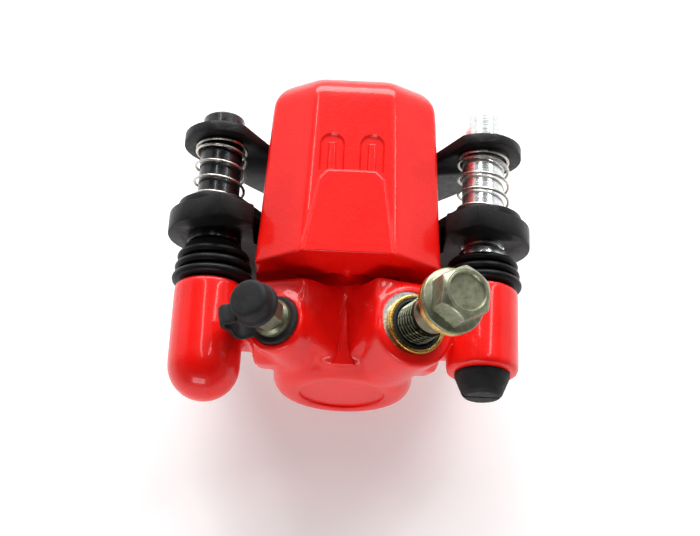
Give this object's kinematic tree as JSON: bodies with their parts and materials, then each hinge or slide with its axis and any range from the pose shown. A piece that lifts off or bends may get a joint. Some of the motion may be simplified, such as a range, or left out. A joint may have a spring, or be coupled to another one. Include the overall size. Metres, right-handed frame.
{
  "type": "brake caliper",
  "caption": "Small floating disc brake caliper: cast body with one piston, bracket, slide pins, boots, sprung pads, hose bolt and capped bleeder.",
  "frame": {"origin": "midway between the bracket's two mounting holes, on the bracket's inboard face", "axes": "+Y along the piston towards the fingers (outboard), +Z outwards to the bridge, +X along the row of mounting holes to the hose port's side"},
  "size_m": [0.085, 0.0781, 0.0801],
  "materials": {
    "housing_paint": "gloss red paint with fine specks on a die casting",
    "piston_steel": "plated and ground",
    "seal_rubber": "smooth moulded rubber",
    "bracket_black": "satin black over stamped plate",
    "pin_black": "semi-gloss black oxide",
    "pin_zinc": "bright zinc plating",
    "boot_rubber": "moulded rubber",
    "spring_steel": "drawn spring wire",
    "pad_black": "satin black",
    "lining": "resin-bonded friction material with metal flecks",
    "bolt_zinc": "olive zinc plating",
    "washer_brass": "yellow-plated sealing ring",
    "cap_rubber": "moulded rubber"
  },
  "bodies": {
    "bracket": {"mounting_bracket": "bracket_black", "fixed_slide_pin": "pin_black", "removable_slide_pin": "pin_zinc", "left_return_spring": "spring_steel", "right_return_spring": "spring_steel"},
    "caliper": {"caliper_housing": "housing_paint", "piston_seal": "seal_rubber", "dust_seal": "seal_rubber", "left_boot": "boot_rubber", "right_boot": "boot_rubber", "port_washer_ring": "washer_brass", "port_washer_seal": "seal_rubber", "bleeder_tether": "cap_rubber", "pin_access_plug": "boot_rubber"},
    "piston": {"piston": "piston_steel"},
    "inner_pad": {"inner_pad_plate": "pad_black", "inner_pad_lining": "lining"},
    "outer_pad": {"outer_pad_plate": "pad_black", "outer_pad_lining": "lining"},
    "bolt_washer": {"head_washer_ring": "washer_brass", "head_washer_seal": "seal_rubber"},
    "hose_bolt": {"banjo_bolt": "bolt_zinc"},
    "bleeder": {"bleeder_screw": "bolt_zinc"},
    "cap": {"bleeder_cap": "cap_rubber"}
  },
  "joints": [
    {"name": "caliper_slide", "type": "slide", "parent": "bracket", "child": "caliper", "axis": [0, 1, 0], "range_m": [-0.0025, 0], "stiffness_N_per_m": 800, "springref_m": 0.003, "deforming": ["left_return_spring", "right_return_spring", "left_boot", "right_boot"]},
    {"name": "outer_pad_slide", "type": "slide", "parent": "bracket", "child": "outer_pad", "axis": [0, 1, 0], "range_m": [-0.0025, 0]},
    {"name": "inner_pad_slide", "type": "slide", "parent": "bracket", "child": "inner_pad", "axis": [0, 1, 0], "range_m": [0, 0.0025]},
    {"name": "piston_slide", "type": "slide", "parent": "caliper", "child": "piston", "axis": [0, 1, 0], "range_m": [0, 0.005]},
    {"name": "bleeder_turn", "type": "hinge", "parent": "caliper", "child": "bleeder", "pos_m": [-0.0155, -0.0232, 0.0434], "axis": [-0.4067, 0, 0.9135], "range_deg": [0, 180]},
    {"name": "bleeder_cap_pull", "type": "slide", "parent": "caliper", "child": "cap", "axis": [-0.4067, 0, 0.9135], "range_m": [0, 0.008], "deforming": ["bleeder_tether"]},
    {"name": "hose_bolt_travel", "type": "slide", "parent": "caliper", "child": "bolt_washer", "axis": [0.3743, -0.0436, 0.9263], "range_m": [-0.0075, 0.0045]},
    {"name": "hose_bolt_turn", "type": "hinge", "parent": "bolt_washer", "child": "hose_bolt", "pos_m": [0.0155, -0.0234, 0.0453], "axis": [0.3743, -0.0436, 0.9263], "range_deg": [-2170, 1310]}
  ],
  "couplings": [
    {"joint": "outer_pad_slide", "follows": "caliper_slide", "ratio": 1},
    {"joint": "inner_pad_slide", "follows": "caliper_slide", "ratio": -1},
    {"joint": "piston_slide", "follows": "caliper_slide", "ratio": -2},
    {"joint": "hose_bolt_turn", "follows": "hose_bolt_travel", "rad_per_m": 5026.5}
  ]
}
